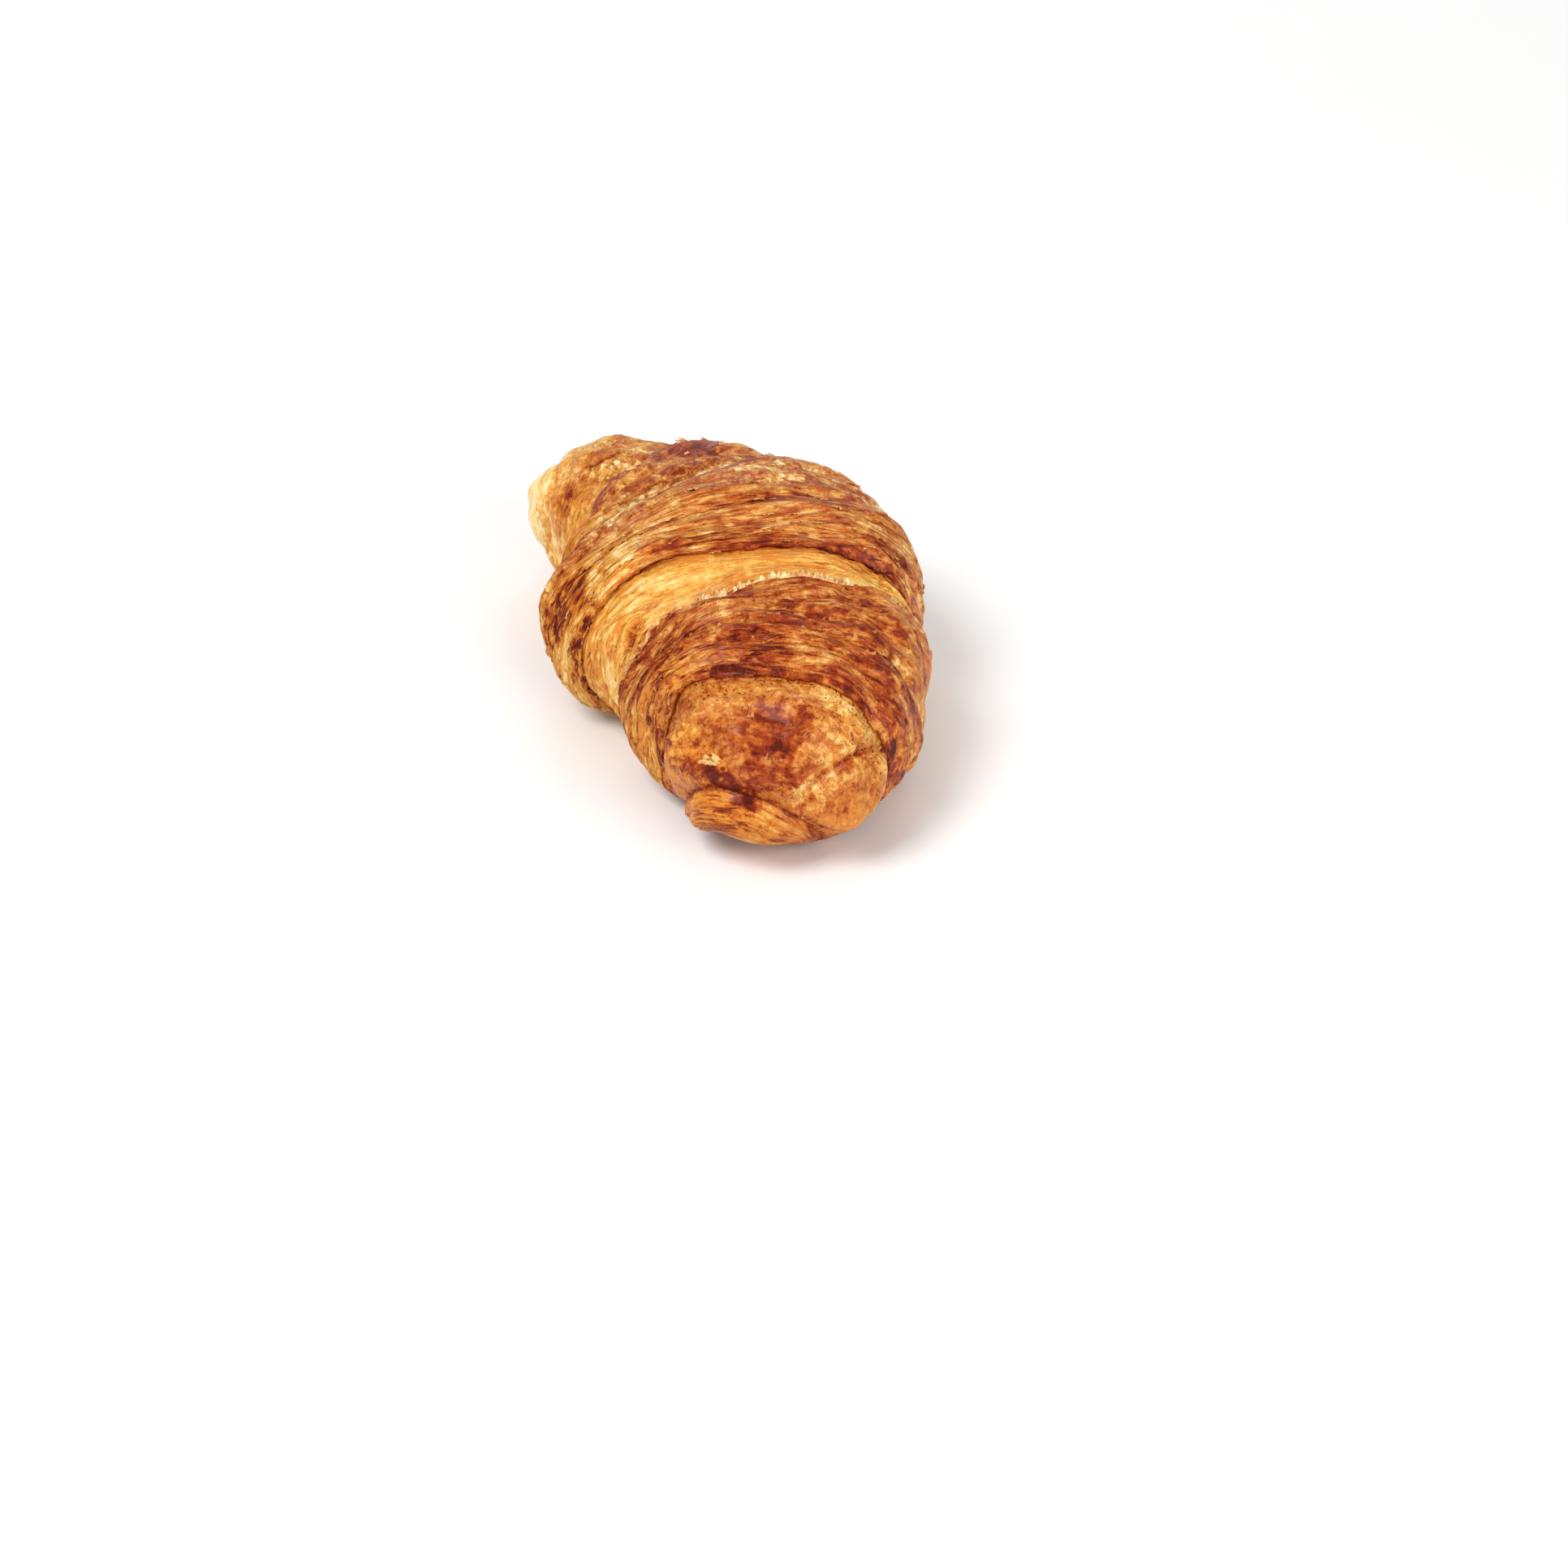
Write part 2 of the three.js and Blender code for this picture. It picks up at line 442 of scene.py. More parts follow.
    def place(self, walk: np.ndarray, angle: np.ndarray, height: np.ndarray) -> np.ndarray:
        """Places of points of the crust.

        Args:
            walk: The walk along the roll.
            angle: The angle round the section.
            height: The height off the plain section, mm.

        Returns:
            The points, with x, y and z last.
        """
        walk, angle, height = np.broadcast_arrays(walk, angle, height)
        turn = self.turn_at(walk)
        share = np.cos(turn)
        rounded = self.round_from + (1.0 - self.round_from) * np.sin(turn)
        place = np.where(turn > 0, np.sign(walk) * rounded, walk)
        cos, sin = np.cos(angle), np.sin(angle)
        outer, inner = self.size_at("outer", place), self.size_at("inner", place)
        half_width = np.where(cos > 0, outer, inner)
        crown, axis = self.size_at("crown", place), self.size_at("axis", place)
        depth = np.minimum(axis + self.base_depth, crown)

        far = place < 0
        sweep = np.where(far, self.sweep_far[0], self.sweep_near[0])
        power = np.where(far, self.sweep_far[1], self.sweep_near[1])
        reach = np.abs(place)
        fall = power * sweep * reach ** (power - 1.0) * np.sign(place)
        length = np.hypot(self.half_length, fall)
        dir_x, dir_y = self.half_length / length, -fall / length

        lean = 2.0 - 2.0 / self.squareness
        out_x, out_y = bend(cos, lean) / half_width, bend(sin, lean) / crown
        size = np.hypot(out_x, out_y)
        outwards, upwards = share * out_x / size, share * out_y / size
        forwards = np.sin(turn) * np.sign(walk)

        section = 2.0 / self.squareness
        side = half_width * share * bend(cos, section) + height * outwards
        ahead = height * forwards
        lift = np.where(sin > 0, crown, depth) * share * bend(sin, section)
        x = self.half_length * place - dir_y * side + dir_x * ahead - self.middle.x
        y = -sweep * reach**power + dir_x * side + dir_y * ahead - self.middle.y
        z = np.maximum(axis + lift + height * upwards, 0.0)
        return np.stack([x, y, z], -1)

    def on_top_length(self, index: int) -> float:
        """Length of a wrap along the top of the roll.

        Args:
            index: The wrap.

        Returns:
            The length, mm.
        """
        top = np.array(math.pi / 2.0)
        ends = self.walk_in(index, np.array([0.0, 1.0]), top)
        return float(ends[1] - ends[0]) * self.half_length


class CrustTone(Enum):
    """Colours of the baked crust and of the softer dough beside it, as they show in daylight."""

    CREAM = (254, 224, 164)
    PALE = (249, 194, 112)
    STRAW = (231, 163, 84)
    GOLD = (214, 135, 61)
    AMBER = (197, 107, 41)
    CHESTNUT = (175, 77, 25)
    MAHOGANY = (151, 52, 13)
    DARK = (126, 34, 9)
    BURNT = (90, 21, 7)
    BUTTER = (252, 204, 110)
    HONEY = (241, 180, 80)
    OCHRE = (226, 142, 54)
    TOFFEE = (195, 102, 28)
    SIENNA = (148, 54, 12)

    def linear(self) -> tuple[float, float, float, float]:
        """The colour in scene light.

        Returns:
            Red, green, blue and alpha.
        """
        shares = [part / 255.0 for part in self.value]
        red, green, blue = (
            share / 12.92 if share <= 0.04045 else ((share + 0.055) / 1.055) ** 2.4 for share in shares
        )
        return (red, green, blue, 1.0)


@dataclass(frozen=True)
class Grain:
    """How fine a noise pattern is: its scales along and round the roll, and its finer parts."""

    along: float
    around: float
    detail: float
    roughness: float
    distortion: float = 0.0


class Nodes:
    """Short ways to add the nodes of one material."""

    def __init__(self, name: str) -> None:
        """Makes the material.

        Args:
            name: The material's name.
        """
        self.material = bpy.data.materials.new(name)
        self.material.use_nodes = True
        self.tree = self.material.node_tree
        self.shader = self.tree.nodes["Principled BSDF"]

    def add(self, kind: str, **settings: object) -> bpy.types.Node:
        """Adds a node.

        Args:
            kind: The node's type.
            settings: Its properties.

        Returns:
            The node.
        """
        node = self.tree.nodes.new(kind)
        for name, value in settings.items():
            setattr(node, name, value)
        return node

    def feed(self, socket: bpy.types.NodeSocket, value: object) -> None:
        """Sets or joins an input.

        Args:
            socket: The input.
            value: A number, a vector or another node's output.
        """
        if isinstance(value, bpy.types.NodeSocket):
            self.tree.links.new(value, socket)
        else:
            socket.default_value = value

    def shade(self, inputs: dict[str, object]) -> None:
        """Sets or joins inputs of the shader, each by its name."""
        for name, value in inputs.items():
            self.feed(self.shader.inputs[name], value)

    def math(self, operation: str, a: object, b: object = 0.0) -> bpy.types.NodeSocket:
        """Works out one number from two.

        Args:
            operation: The math node's operation.
            a: The first input.
            b: The second input.

        Returns:
            The result's socket.
        """
        node = self.add("ShaderNodeMath", operation=operation)
        self.feed(node.inputs[0], a)
        self.feed(node.inputs[1], b)
        return node.outputs[0]

    def plus(self, a: object, b: object) -> bpy.types.NodeSocket:
        """The sum of two inputs."""
        return self.math("ADD", a, b)

    def minus(self, a: object, b: object) -> bpy.types.NodeSocket:
        """The first input less the second."""
        return self.math("SUBTRACT", a, b)

    def times(self, a: object, b: object) -> bpy.types.NodeSocket:
        """The product of two inputs."""
        return self.math("MULTIPLY", a, b)

    def total(self, start: object, parts: tuple[tuple[object, float, object], ...]) -> bpy.types.NodeSocket:
        """Adds patterns to a value.

        Args:
            start: The value.
            parts: Each pattern, its strength, and how much of it shows.

        Returns:
            The sum.
        """
        for pattern, strength, share in parts:
            start = self.plus(start, self.times(self.times(pattern, strength), share))
        return start

    def attribute(self, name: str) -> bpy.types.Node:
        """Reads a value that the mesh carries."""
        return self.add("ShaderNodeAttribute", attribute_name=name)

    def scaled(self, vector: object, scale: tuple[float, float, float]) -> bpy.types.NodeSocket:
        """Scales a pattern's coordinates.

        Args:
            vector: The coordinates.
            scale: How much each is scaled.

        Returns:
            The scaled coordinates.
        """
        node = self.add("ShaderNodeMapping")
        self.feed(node.inputs["Vector"], vector)
        node.inputs["Scale"].default_value = scale
        return node.outputs["Vector"]

    def pattern(self, vector: object, grain: Grain) -> bpy.types.NodeSocket:
        """A noise pattern.

        Args:
            vector: Its coordinates.
            grain: How fine it is.

        Returns:
            The pattern, about 0.5 in the middle.
        """
        node = self.add("ShaderNodeTexNoise")
        self.feed(node.inputs["Vector"], self.scaled(vector, (grain.along, grain.around, grain.around)))
        node.inputs["Scale"].default_value = 1.0
        node.inputs["Detail"].default_value = grain.detail
        node.inputs["Roughness"].default_value = grain.roughness
        node.inputs["Distortion"].default_value = grain.distortion
        return node.outputs["Fac"]

    def spread(
        self, value: object, low: float, high: float, out_low: float = 0.0, out_high: float = 1.0
    ) -> bpy.types.NodeSocket:
        """Stretches a range smoothly.

        Args:
            value: The input.
            low: The input that gives out_low.
            high: The input that gives out_high.
            out_low: The lowest result.
            out_high: The highest result.

        Returns:
            The stretched value.
        """
        node = self.add("ShaderNodeMapRange", interpolation_type="SMOOTHSTEP")
        self.feed(node.inputs["Value"], value)
        node.inputs["From Min"].default_value = low
        node.inputs["From Max"].default_value = high
        node.inputs["To Min"].default_value = out_low
        node.inputs["To Max"].default_value = out_high
        return node.outputs["Result"]

    def ramp(
        self, value: object, stops: list[tuple[float, tuple[float, float, float, float]]]
    ) -> bpy.types.NodeSocket:
        """Turns a value into a colour.

        Args:
            value: The input, 0 to 1.
            stops: Places and colours.

        Returns:
            The colour.
        """
        node = self.add("ShaderNodeValToRGB")
        self.feed(node.inputs["Fac"], value)
        ramp = node.color_ramp
        while len(ramp.elements) < len(stops):
            ramp.elements.new(0.5)
        for element, (place, colour) in zip(ramp.elements, stops):
            element.position = place
            element.color = colour
        return node.outputs["Color"]

    def mix(self, share: object, a: object, b: object) -> bpy.types.NodeSocket:
        """Mixes two colours.

        Args:
            share: How much of the second shows.
            a: The first colour.
            b: The second colour.

        Returns:
            The mixed colour.
        """
        node = self.add("ShaderNodeMix", data_type="RGBA")
        self.feed(node.inputs[0], share)
        self.feed(node.inputs[6], a)
        self.feed(node.inputs[7], b)
        return node.outputs[2]

    def bump(self, height: object, strength: float, distance: float) -> None:
        """Raises the surface by a pattern.

        Args:
            height: The pattern.
            strength: How strongly it shows.
            distance: How high it stands, in metres.
        """
        node = self.add("ShaderNodeBump")
        node.inputs["Strength"].default_value = strength
        node.inputs["Distance"].default_value = distance
        self.feed(node.inputs["Height"], height)
        self.feed(self.shader.inputs["Normal"], node.outputs["Normal"])


@dataclass(frozen=True)
class CrustFinish:
    """Egg-washed crust: sharp blotches, fine lines, dark hair cracks, pores and a satin gloss."""

    blotch: float = 0.145  # how much a patch of skin differs from the next
    streak: float = 0.13  # how much a layer differs from the next
    speckle: float = 0.24
    gloss_rough: float = 0.33
    bump: float = 0.85
    bump_height: float = 0.0005  # metres
    patches: Grain = Grain(0.2, 0.2, 7.0, 0.64, 0.5)
    grain: Grain = Grain(2.6, 2.6, 3.0, 0.65)
    lines: Grain = Grain(0.6, 0.07, 8.0, 0.7, 0.3)
    threads: Grain = Grain(2.0, 0.3, 4.0, 0.64, 0.25)
    round_spots: Grain = Grain(0.66, 0.66, 5.0, 0.6, 0.6)
    long_spots: Grain = Grain(0.95, 0.36, 5.0, 0.62, 0.4)
    holes: Grain = Grain(1.5, 1.5, 1.0, 0.5)
    pale_specks: Grain = Grain(1.1, 0.5, 3.0, 0.6)
    hairs: Grain = Grain(0.8, 0.045, 4.0, 0.6, 0.6)
    rims: Grain = Grain(0.24, 0.24, 4.0, 0.6, 0.6)
    sheet_count: float = 0.95  # thin sheets for each mm along the roll
    sheet_drift: Grain = Grain(0.14, 0.035, 4.0, 0.6, 0.3)
    crust_tones: str = "CREAM PALE STRAW GOLD AMBER CHESTNUT MAHOGANY DARK BURNT"
    soft_tones: str = "CREAM BUTTER HONEY OCHRE OCHRE TOFFEE SIENNA DARK BURNT"
    second_tone: float = 0.08  # the bake that shows the second tone

    def build(self) -> bpy.types.Material:
        """Makes the material.

        Returns:
            The material, which reads the crust's flow, bake, streak, mottle, dough and pores.
        """
        nodes = Nodes("baked_crust")
        place = nodes.add("ShaderNodeTexCoord").outputs["Object"]
        in_mm = nodes.scaled(place, (1000.0, 1000.0, 1000.0))
        flow = nodes.attribute("flow").outputs["Vector"]
        bake, streak, mottle, dough, pores = (nodes.attribute(name).outputs["Fac"] for name in SKIN_VALUES)

        grain = nodes.pattern(in_mm, self.grain)
        lines = nodes.pattern(flow, self.lines)
        threads = nodes.pattern(flow, self.threads)
        round_spots = nodes.pattern(in_mm, self.round_spots)
        longer = nodes.minus(nodes.pattern(flow, self.long_spots), round_spots)
        spots = nodes.plus(round_spots, nodes.times(longer, nodes.spread(streak, 0.3, 0.9)))
        line_skin = nodes.spread(lines, 0.4, 0.6, -0.8, 1.0)
        thread_skin = nodes.spread(threads, 0.41, 0.59, -1.0, 1.0)
        skin = nodes.spread(nodes.pattern(in_mm, self.patches), 0.44, 0.56, -0.8, 1.0)
        fleck = nodes.spread(spots, 0.42, 0.58, -0.85, 1.0)
        # the second is painted shade at the foot of each thin sheet, under the rim of the one before
        lapped, sheet_foot_shade = self.sheets(nodes, flow)
        sheet_foot_shade = nodes.times(nodes.times(sheet_foot_shade, nodes.spread(lines, 0.42, 0.56)), streak)
        hair = self.hair(nodes, flow, self.hairs, 0.016)
        hair = nodes.times(nodes.times(hair, nodes.spread(lines, 0.48, 0.6)), streak)
        rim = self.hair(nodes, in_mm, self.rims, 0.012)
        rim = nodes.times(nodes.times(rim, nodes.spread(spots, 0.44, 0.58)), mottle)
        hole = nodes.times(nodes.spread(nodes.pattern(in_mm, self.holes), 0.63, 0.7), pores)
        pale = nodes.spread(nodes.pattern(flow, self.pale_specks), 0.6, 0.7)

        browning = (
            (skin, self.blotch, mottle),
            (fleck, self.blotch * 0.6, mottle),
            (fleck, self.blotch * 0.2, 1.0),
            (line_skin, self.streak, streak),
            (thread_skin, self.streak * 0.7, streak),
            (thread_skin, 0.03, 1.0),
            (nodes.minus(grain, 0.5), self.speckle, 1.0),
            # painted shade at the foot of each thin sheet
            (sheet_foot_shade, 0.2, 1.0),
            (hair, 0.3, 1.0),
            (rim, 0.2, 1.0),
            (hole, 0.35, 1.0),
            (pale, -0.08, 1.0),
        )
        raising = (
            (grain, 0.4, 1.0),
            (threads, 1.2, streak),
            (lines, 1.2, streak),
            (lapped, 0.7, streak),
            (skin, 0.35, mottle),
            (fleck, 0.25, mottle),
            (hair, -0.8, 1.0),
            (rim, -0.6, 1.0),
            (hole, -0.8, 1.0),
            (pale, 0.25, 1.0),
        )
        value = nodes.total(bake, browning)
        nodes.bump(nodes.total(0.0, raising), self.bump, self.bump_height)
        crust, soft = (self.toned(nodes, value, names) for names in (self.crust_tones, self.soft_tones))
        rough = nodes.spread(value, 0.2, 0.8, 0.6, self.gloss_rough)
        nodes.shade({
            "Base Color": nodes.mix(dough, crust, soft),
            "Roughness": nodes.plus(rough, nodes.times(nodes.minus(spots, 0.5), 0.3)),
            "Specular IOR Level": 0.17,
            "Specular Tint": (1.0, 0.6, 0.4, 1.0),
            "Coat Weight": 0.2,
            "Coat Roughness": 0.24,
            "Subsurface Weight": 0.04,
            "Subsurface Radius": (1.0, 0.4, 0.15),
            "Subsurface Scale": 0.001,
        })
        return nodes.material

    def sheets(self, nodes: Nodes, flow: object) -> tuple[bpy.types.NodeSocket, bpy.types.NodeSocket]:
        """Thin sheets of dough that overlap along the roll.

        Args:
            nodes: The material's nodes.
            flow: The pattern's coordinates.

        Returns:
            Each sheet's height from its root to its rim, and 1 at its root, just under the rim of the sheet
            before, where shade is painted.
        """
        split = nodes.add("ShaderNodeSeparateXYZ")
        nodes.feed(split.inputs[0], flow)
        along = nodes.times(split.outputs[0], self.sheet_count)
        drift = nodes.times(nodes.pattern(flow, self.sheet_drift), 7.0)
        height = nodes.math("FRACT", nodes.plus(along, drift))
        return height, nodes.spread(height, 0.0, 0.22, 1.0, 0.0)

    def hair(self, nodes: Nodes, vector: object, grain: Grain, width: float) -> bpy.types.NodeSocket:
        """Thin crooked lines, 1 where a noise crosses its middle and 0 beside them."""
        apart = nodes.math("ABSOLUTE", nodes.minus(nodes.pattern(vector, grain), 0.5))
        return nodes.spread(apart, width * 0.2, width, 1.0, 0.0)

    def toned(self, nodes: Nodes, value: object, names: str) -> bpy.types.NodeSocket:
        """Colours a value: the first tone at 0, and the others evenly from second_tone to 1.

        Args:
            nodes: The material's nodes.
            value: The bake, 0 to 1.
            names: The tones from pale to dark.

        Returns:
            The colour.
        """
        tones = [CrustTone[name].linear() for name in names.split()]
        places = [0.0, *np.linspace(self.second_tone, 1.0, len(tones) - 1).tolist()]
        return nodes.ramp(value, list(zip(places, tones)))


@dataclass(frozen=True)
class FlakeFinish:
    """Thin dry flakes of pastry: pale at the torn rim, golden where they still lie flat."""

    name: str
    dark: CrustTone
    light: CrustTone
    roughness: float = 0.6
    patches: Grain = Grain(420.0, 420.0, 4.0, 0.6)
    grain: Grain = Grain(2600.0, 2600.0, 2.0, 0.5)

    def build(self) -> bpy.types.Material:
        """Makes the material.

        Returns:
            The material.
        """
        nodes = Nodes(self.name)
        place = nodes.add("ShaderNodeTexCoord").outputs["Object"]
        share = nodes.spread(nodes.pattern(place, self.patches), 0.36, 0.64)
        grain = nodes.pattern(place, self.grain)
        nodes.bump(grain, 0.4, 0.0002)
        nodes.shade({
            "Base Color": nodes.mix(share, self.dark.linear(), self.light.linear()),
            "Roughness": nodes.spread(grain, 0.3, 0.7, self.roughness - 0.1, self.roughness + 0.1),
            "Subsurface Weight": 0.15,
            "Subsurface Radius": (1.0, 0.5, 0.25),
            "Subsurface Scale": 0.0015,
        })
        return nodes.material


def finish_mesh(name: str, mesh: bmesh.types.BMesh, material: bpy.types.Material) -> bpy.types.Object:
    """Turns a bmesh into a smooth-shaded object at the origin.

    Args:
        name: The piece's name.
        mesh: Its shape, in metres.
        material: Its finish.

    Returns:
        The object.
    """
    data = bpy.data.meshes.new(name)
    mesh.to_mesh(data)
    mesh.free()
    data.materials.append(material)
    data.shade_smooth()
    piece = bpy.data.objects.new(name, data)
    bpy.context.scene.collection.objects.link(piece)
    return piece


@dataclass
class Crust:
    """The whole crust as one closed skin, with its layers, lips, blisters and cracks."""

    roll: Roll
    around: int = 210
    flow_radius: float = 25.0  # mm, how far the pattern goes round the section
    no_edge: float = 99.0  # mm, a gap to the edges that is wider than any
    lines: FlowNoise = FlowNoise(0.5, 0.045, 4, 3.0)  # the layers that show
    threads: FlowNoise = FlowNoise(1.25, 0.1, 3, 5.0)
    gashes: FlowNoise = FlowNoise(0.36, 0.04, 3, 31.0)
    slits: FlowNoise = FlowNoise(0.3, 0.055, 2, 91.0)
    sheet_drift: FlowNoise = FlowNoise(0.09, 0.03, 3, 71.0)
    sheet_width: float = 2.3  # mm along the roll
    broad_size: float = 21.0  # mm, of the slow changes in how it is baked
    blister_size: float = 5.2
    pimple_size: float = 1.8
    skin: Grid | None = None
    patches: tuple[Patch, ...] = (
        Patch(-0.815, 140, 2.5, 7, 0.22),
        Patch(-0.56, 78, 3, 7, 0.2),
        Patch(-0.513, 71, 1.3, 1.5, 0.3),
        Patch(-0.47, 88, 2, 6, 0.12),
        Patch(-0.51, 128, 2.5, 8, 0.16),
        Patch(-0.4, 114, 3, 5, -0.14),
        Patch(-0.05, 48, 3, 8, 0.14),
        Patch(-0.05, 160, 5.5, 8, 0.45),  # dark blotch on the inner curve
        Patch(-0.01, 70, 2.4, 8, 0.24),
        Patch(0.02, 114, 4, 9, -0.07),
        Patch(0.09, 122, 1.5, 14, 0.18),
        Patch(0.135, 88, 2, 9, 0.14),
        Patch(0.252, 48, 1.5, 2, 0.2),  # painted shade of a dimple in the valley
        Patch(0.45, 173, 2, 12, 0.16),
        Patch(0.545, 50, 2.5, 9, 0.16),
        Patch(0.548, 84, 3.0, 6.5, 0.2),
        Patch(0.72, 40, 3, 12, 0.14),
        Patch(0.831, 22, 4, 6, -0.05),
        Patch(0.845, 118, 3, 9, -0.2),
        Patch(0.9, 82, 4.5, 7, 0.27),
        Patch(0.938, 74, 2, 3, 0.16),
        Patch(0.95, 40, 4, 4, -0.16),
        Patch(1.0, 24, 4, 5, -0.2),
        Patch(0.93, 5, 4.5, 5, 0.09),
        Patch(0.812, 10, 2.5, 11, -0.12),
        Patch(0.85, 40, 3, 4, -0.1),
        Patch(0.96, 152, 4, 6, 0.17),
        Patch(0.986, 53, 3, 2.5, 0.2),
        Patch(1.008, 84, 3.5, 3.5, 0.16),
        Patch(1.02, 146, 3.5, 5, 0.28),
        Patch(1.085, 118, 2.5, 2.5, 0.22),
        Patch(1.06, 300, 3.5, 4, 0.1),
    )
    cracks: tuple[Crack, ...] = (
        Crack((-0.8, 108), (-0.74, 86), width=0.35, depth=0.7),
        Crack((0.235, 43), (0.34, 35), width=0.3, depth=0.6),
        Crack((0.3, 142), (0.335, 160), width=0.45, depth=0.9),
        Crack((0.28, 128), (0.3, 146), width=0.35, depth=0.7),
        Crack((0.955, 17), (0.93, 33), width=0.3, depth=0.4),
        Crack((0.93, 33), (0.894, 36), width=0.3, depth=0.45),
        Crack((0.894, 36), (0.87, 20), width=0.3, depth=0.4),
        Crack((0.87, 20), (0.846, 0), width=0.3, depth=0.35),
        Crack((0.846, 0), (0.815, -19), width=0.25, depth=0.3),
        Crack((0.926, 50), (0.966, 36), width=0.2, depth=0.25),
        Crack((0.966, 36), (0.985, 4), width=0.2, depth=0.25),
    )

    def rows(self) -> list[tuple[int, float, int]]:
        """Rows of the skin from the far pole to the near one.

        Returns:
            For each row its wrap, the share of the way across it, and its place in the wall after
            that wrap, or -1 outside the walls.
        """
        rows: list[tuple[int, float, int]] = []
        last = len(self.roll.wraps) - 1
        for index, wrap in enumerate(self.roll.wraps):
            rows += [(index, i / wrap.rows, -1) for i in range(wrap.rows + 1)]
            if index < last:
                rows += [(index, 1.0, k) for k in range(len(self.roll.wall))]
        return rows

    def grid(self) -> Grid:
        """Works out every point of the skin, before the fine relief.

        Returns:
            The points' walk, angle, height and pattern coordinates.
        """
        roll = self.roll
        rows = self.rows()
        angle = roll.angles(self.around)
        shape = (len(rows), self.around)
        walk, height, across_all = np.zeros(shape), np.zeros(shape), np.zeros(shape)
        wrap_all = np.zeros(shape, int)
        flow_s, gap = np.zeros(shape), np.full(shape, self.no_edge)
        lengths = [roll.on_top_length(i) for i in range(len(roll.wraps))]
        starts = np.concatenate([[0.0], np.cumsum(lengths)])
        for r, (index, across, wall) in enumerate(rows):
            if wall >= 0:
                continue
            walk[r] = roll.walk_in(index, np.array(across), angle)
            height[r] = roll.relief(index, np.array(across), walk[r], angle)
            height[r] -= self.shoulders(index, walk[r], angle)
            wrap_all[r] = index
            across_all[r] = across
            flow_s[r] = starts[index] + across * (starts[index + 1] - starts[index])
        for r, (index, _, wall) in enumerate(rows):
            if wall < 0:
                continue
            self.wall_row(r, index, wall, angle, walk, height)
            low_first = self.rises(index)
            point = roll.wall[wall if low_first else len(roll.wall) - 1 - wall]
            upper = (point.rise > 0.5) == low_first
            wrap_all[r] = index + 1 if upper else index
            across_all[r] = 0.0 if upper else 1.0
            flow_s[r] = starts[index + 1] + 0.3 * wall
            gap[r] = 0.0
        angle_all = np.broadcast_to(angle, shape)
        for i in range(len(roll.edges)):
            apart = np.abs(walk - roll.edge_at(i, angle)) * roll.half_length
            gap = np.minimum(gap, apart)
        turn = roll.turn_at(walk)
        reach = self.flow_radius * np.cos(turn)
        flow = np.stack([flow_s, reach * np.cos(angle_all), reach * np.sin(angle_all)], -1)
        inside = self.end_flow(walk, angle_all, flow)
        under = 1.0 - roll.base_fade(angle_all, turn)
        return Grid(walk, angle_all, height, flow, wrap_all, across_all, turn, under, inside, gap)

    def end_flow(self, walk: np.ndarray, angle: np.ndarray, flow: np.ndarray) -> np.ndarray:
        """Turns the pattern's coordinates into rings round each form of the two ends.

        Args:
            walk: The points' walk.
            angle: The points' angle.
            flow: The pattern's coordinates, which it changes inside the forms.

        Returns:
            1 inside the forms and 0 elsewhere.
        """
        inside = np.zeros_like(walk)
        for index, form in enumerate(self.roll.end_forms):
            p, q = self.roll.from_form(form, walk, angle)
            apart = np.hypot(p, q)
            here = (np.sign(walk) == form.end) & (apart < form.radius) & form.rings
            rings = np.stack([1.5 * apart + 50.0 * (index + 2), p, q], -1)
            flow[here] = rings[here]
            inside[here] = 1.0
        return inside

    def rises(self, edge: int) -> bool:
        """Whether the surface steps up at an edge, going towards the near tip."""
        return self.roll.wraps[edge + 1].start > self.roll.wraps[edge].end

    def shoulders(self, index: int, walk: np.ndarray, angle: np.ndarray) -> np.ndarray:
        """How much a wrap is lowered next to its edges, to round the lips.

        Args:
            index: The wrap.
            walk: The walk of one row.
            angle: The angles of that row.

        Returns:
            The height to take off, mm.
        """
        roll = self.roll
        lowered = np.zeros_like(walk)
        for edge_index, upper in ((index - 1, True), (index, False)):
            if not 0 <= edge_index < len(roll.edges):
                continue
            edge = roll.edges[edge_index]
            apart = np.abs(walk - roll.edge_at(edge_index, angle)) * roll.half_length
            if self.rises(edge_index) == upper:
                width = 2.0 * edge.shoulder
                lowered += 0.75 * edge.shoulder * np.clip(1.0 - apart / width, 0.0, 1.0) ** 2
            else:
                lowered += 0.3 * np.exp(-apart / 1.2)
        return lowered * roll.base_fade(angle, roll.turn_at(walk))

    def wall_row(
        self, r: int, index: int, wall: int, angle: np.ndarray, walk: np.ndarray, height: np.ndarray
    ) -> None:
        """Places one row of the wall between two wraps.

        Args:
            r: The row.
            index: The edge.
            wall: The row's place in the wall.
            angle: The columns' angles.
            walk: All rows' walks, which it fills in.
            height: All rows' heights, which it fills in.
        """
        roll = self.roll
        edge = roll.edges[index]
        count = len(roll.wall)
        before, after = r - wall - 1, r - wall + count
        low_first = self.rises(index)
        point = roll.wall[wall if low_first else count - 1 - wall]
        low, high = (height[before], height[after]) if low_first else (height[after], height[before])
        ring = np.stack([3.0 * np.cos(angle) + 7.0 * index, 3.0 * np.sin(angle), np.zeros_like(angle)], -1)
        open_share = 0.65 + 0.9 * fractal(ring, 3)  # some stretches gape and some are shut
        tear = edge.ragged * fractal(ring * 5.0, 3) * (1.0 if point.rise > 0.5 else 0.2)
        fade = roll.base_fade(angle, roll.turn_at(roll.edge_at(index, angle)))
        hang = edge.lip * np.clip(open_share, 0.1, 1.4) * fade
        inwards = (point.inwards * hang + tear * fade) / roll.half_length
        walk[r] = roll.edge_at(index, angle) + (inwards if low_first else -inwards)
        height[r] = low + (high - low) * point.rise

